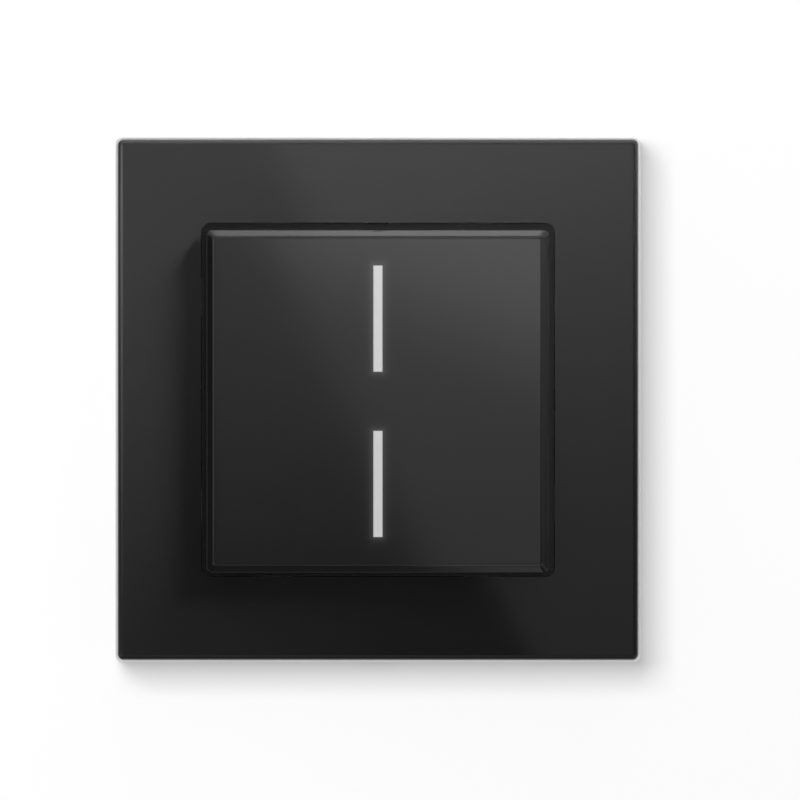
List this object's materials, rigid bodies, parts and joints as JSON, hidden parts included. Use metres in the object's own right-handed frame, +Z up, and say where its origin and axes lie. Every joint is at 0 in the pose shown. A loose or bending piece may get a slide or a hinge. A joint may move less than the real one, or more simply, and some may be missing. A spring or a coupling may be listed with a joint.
{
  "type": "smart push button switch",
  "caption": "Square flush wall push button with a black glass frame, a tilting push plate with two lit bars, and a claw-fixed insert behind.",
  "frame": {"origin": "centre of the wall box's two screws, on the support ring's rear face, in the plane of the wall", "axes": "X to the right and Z up as seen from the room, +Y into the wall"},
  "size_m": [0.0816, 0.0409, 0.0816],
  "materials": {
    "glass_black": "polished, back-printed black",
    "carrier_plastic": "fine satin",
    "bond_black": "matt foam tape",
    "rocker_black": "high gloss",
    "bridge_grey": "moulded",
    "light_guide": "translucent white",
    "duct_white": "reflective white",
    "module_black": "fine spark-eroded",
    "board_green": "solder-masked laminate",
    "led_white": "phosphor",
    "chip_black": "moulding compound",
    "tin_sheet": "tinned",
    "spring_steel": "stainless spring sheet",
    "plunger_white": "natural acetal",
    "zinc_steel": "zinc plated",
    "screw_steel": "zinc plated, passivated",
    "pin_brass": "gold flashed",
    "plug_black": "moulded",
    "housing_grey": "fine satin",
    "relay_plastic": "moulded",
    "ferrite": "sintered",
    "winding_tape": "polyester tape",
    "film_yellow": "moulded box",
    "sleeve_black": "shrink sleeve",
    "varistor_blue": "dipped epoxy",
    "fuse_green": "coated",
    "terminal_grey": "moulded",
    "terminal_brass": "tinned brass",
    "lever_orange": "moulded"
  },
  "bodies": {
    "insert": {"support_ring": "zinc_steel", "frame_carrier": "carrier_plastic", "glass_bond": "bond_black", "glass_panel": "glass_black", "light_duct_upper": "duct_white", "light_duct_lower": "duct_white", "module_cover": "module_black", "module_base": "module_black", "module_screws": "screw_steel", "control_board": "board_green", "status_leds": "led_white", "controller_chip": "chip_black", "radio_shield": "tin_sheet", "spring_plate": "spring_steel", "snap_domes_upper": "spring_steel", "snap_domes_lower": "spring_steel", "link_socket": "plug_black", "link_header": "plug_black", "link_pins": "pin_brass", "rear_housing": "housing_grey", "housing_lid": "housing_grey", "ring_screws": "screw_steel", "power_board": "board_green", "board_screws": "screw_steel", "relay": "relay_plastic", "transformer_core": "ferrite", "transformer_bobbin": "winding_tape", "filter_capacitor": "film_yellow", "bulk_capacitor": "sleeve_black", "varistor": "varistor_blue", "fuse": "fuse_green", "terminal_block": "terminal_grey", "terminal_bars": "terminal_brass", "terminal_clips": "spring_steel", "claw_pins": "screw_steel"},
    "rocker": {"rocker_cap": "rocker_black", "rocker_bridge": "bridge_grey", "light_bar_upper": "light_guide", "light_bar_lower": "light_guide"},
    "plunger_upper_left": {"plunger_upper_left": "plunger_white"},
    "plunger_upper_right": {"plunger_upper_right": "plunger_white"},
    "plunger_lower_left": {"plunger_lower_left": "plunger_white"},
    "plunger_lower_right": {"plunger_lower_right": "plunger_white"},
    "claw_left": {"claw_left": "zinc_steel"},
    "claw_right": {"claw_right": "zinc_steel"},
    "claw_screw_left": {"claw_screw_left": "screw_steel"},
    "claw_screw_right": {"claw_screw_right": "screw_steel"},
    "release_lever_left": {"release_lever_left": "lever_orange"},
    "release_lever_right": {"release_lever_right": "lever_orange"}
  },
  "joints": [
    {"name": "rocker_tilt", "type": "hinge", "parent": "insert", "child": "rocker", "pos_m": [0, -0.0084, 0], "axis": [-1, 0, 0], "range_deg": [-2, 2], "stiffness_Nm_per_rad": 1, "deforming": ["spring_plate", "snap_domes_upper", "snap_domes_lower"]},
    {"name": "plunger_upper_left_slide", "type": "slide", "parent": "insert", "child": "plunger_upper_left", "axis": [0, 1, 0], "range_m": [-0.0004204, 0.0004204]},
    {"name": "plunger_upper_right_slide", "type": "slide", "parent": "insert", "child": "plunger_upper_right", "axis": [0, 1, 0], "range_m": [-0.0004204, 0.0004204]},
    {"name": "plunger_lower_left_slide", "type": "slide", "parent": "insert", "child": "plunger_lower_left", "axis": [0, 1, 0], "range_m": [-0.0004204, 0.0004204]},
    {"name": "plunger_lower_right_slide", "type": "slide", "parent": "insert", "child": "plunger_lower_right", "axis": [0, 1, 0], "range_m": [-0.0004204, 0.0004204]},
    {"name": "claw_screw_left_turn", "type": "hinge", "parent": "insert", "child": "claw_screw_left", "pos_m": [-0.0208, 0, 0], "axis": [0, 1, 0], "range_deg": [0, 1513]},
    {"name": "claw_left_spread", "type": "hinge", "parent": "insert", "child": "claw_left", "pos_m": [-0.0156, 0.006, 0], "axis": [0, 0, 1], "range_deg": [0, 22]},
    {"name": "claw_screw_right_turn", "type": "hinge", "parent": "insert", "child": "claw_screw_right", "pos_m": [0.0208, 0, 0], "axis": [0, 1, 0], "range_deg": [0, 1513]},
    {"name": "claw_right_spread", "type": "hinge", "parent": "insert", "child": "claw_right", "pos_m": [0.0156, 0.006, 0], "axis": [0, 0, -1], "range_deg": [0, 22]},
    {"name": "release_lever_left_press", "type": "slide", "parent": "insert", "child": "release_lever_left", "axis": [0, -1, 0], "range_m": [0, 0.0015], "stiffness_N_per_m": 400},
    {"name": "release_lever_right_press", "type": "slide", "parent": "insert", "child": "release_lever_right", "axis": [0, -1, 0], "range_m": [0, 0.0015], "stiffness_N_per_m": 400}
  ],
  "couplings": [
    {"joint": "plunger_upper_left_slide", "follows": "rocker_tilt", "m_per_rad": 0.012},
    {"joint": "plunger_upper_right_slide", "follows": "rocker_tilt", "m_per_rad": 0.012},
    {"joint": "plunger_lower_left_slide", "follows": "rocker_tilt", "m_per_rad": -0.012},
    {"joint": "plunger_lower_right_slide", "follows": "rocker_tilt", "m_per_rad": -0.012},
    {"joint": "claw_left_spread", "follows": "claw_screw_left_turn", "ratio": 0.01454},
    {"joint": "claw_right_spread", "follows": "claw_screw_right_turn", "ratio": 0.01454}
  ]
}
